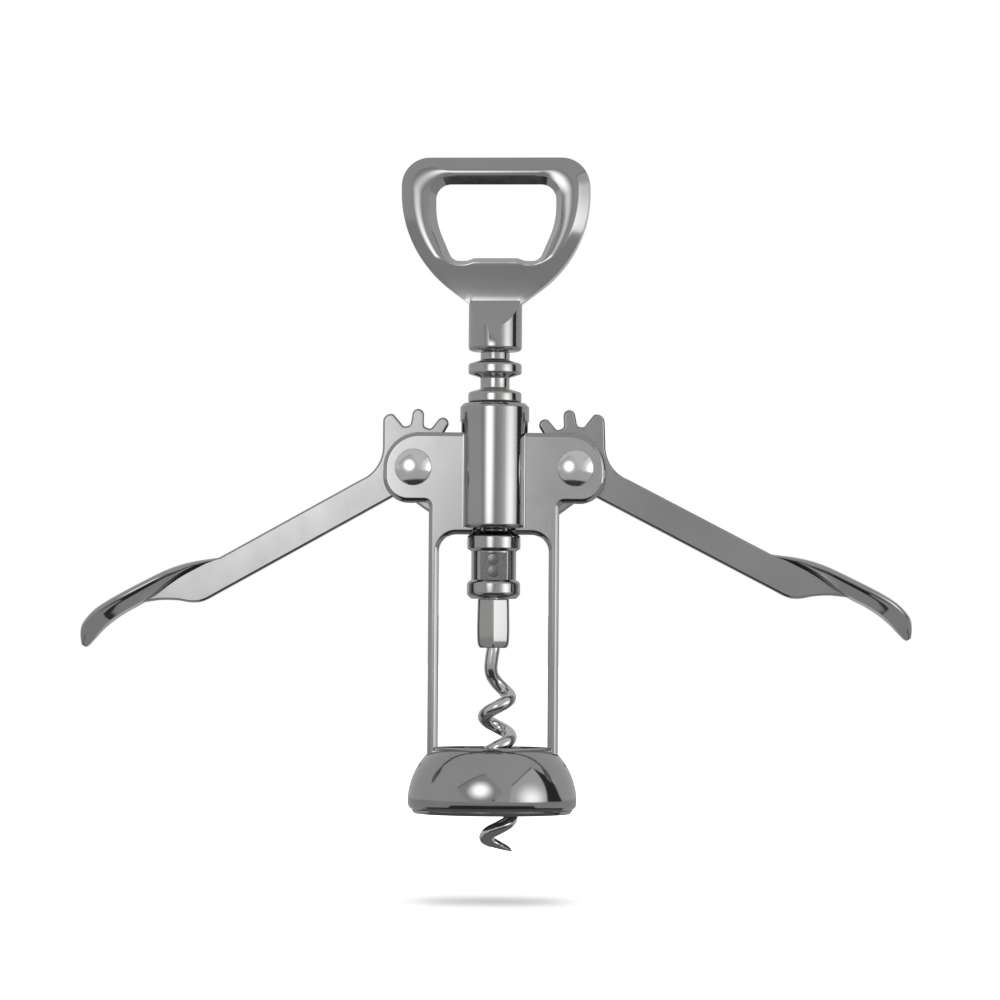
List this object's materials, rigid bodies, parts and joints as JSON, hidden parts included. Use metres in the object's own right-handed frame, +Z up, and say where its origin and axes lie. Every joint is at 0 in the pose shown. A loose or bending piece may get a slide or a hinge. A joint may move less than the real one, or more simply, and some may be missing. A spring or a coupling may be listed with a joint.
{
  "type": "wing corkscrew",
  "caption": "Wing corkscrew: two geared levers lift a ringed spindle and worm through a bell frame; D-shaped cap-opener handle turns the worm.",
  "frame": {"origin": "centre of the bell's mouth, on the screw axis, where the bottle neck enters", "axes": "+X towards the right lever, -Y the front, +Z up the screw axis towards the handle"},
  "size_m": [0.1998, 0.0404, 0.1665],
  "materials": {
    "frame_metal": "satin to polished plating on cast zinc",
    "lever_metal": "fine satin plating on cast zinc",
    "handle_metal": "polished plating on cast zinc",
    "spindle_metal": "polished plating",
    "rivet_steel": "polished steel",
    "worm_steel": "polished steel wire"
  },
  "bodies": {
    "frame": {"frame_casting": "frame_metal", "bell_seat": "frame_metal", "left_rivet": "rivet_steel", "right_rivet": "rivet_steel"},
    "rack": {"rack_sleeve": "spindle_metal"},
    "screw": {"opener_handle": "handle_metal", "worm": "worm_steel", "worm_ferrule": "spindle_metal"},
    "left_arm": {"left_lever": "lever_metal"},
    "right_arm": {"right_lever": "lever_metal"}
  },
  "joints": [
    {"name": "rack_slide", "type": "slide", "parent": "frame", "child": "rack", "axis": [0, 0, 1], "range_m": [-0.022, 0.0145]},
    {"name": "screw_spin", "type": "hinge", "parent": "rack", "child": "screw", "pos_m": [0, 0, 0.08], "axis": [0, 0, 1], "continuous": true},
    {"name": "left_lever_pivot", "type": "hinge", "parent": "frame", "child": "left_arm", "pos_m": [-0.01944, 0, 0.0827], "axis": [0, 1, 0], "range_deg": [-60, 91]},
    {"name": "right_lever_pivot", "type": "hinge", "parent": "frame", "child": "right_arm", "pos_m": [0.01944, 0, 0.0827], "axis": [0, 1, 0], "range_deg": [-91, 60]}
  ],
  "couplings": [
    {"joint": "left_lever_pivot", "follows": "rack_slide", "rad_per_m": -71.942},
    {"joint": "right_lever_pivot", "follows": "rack_slide", "rad_per_m": 71.942}
  ]
}
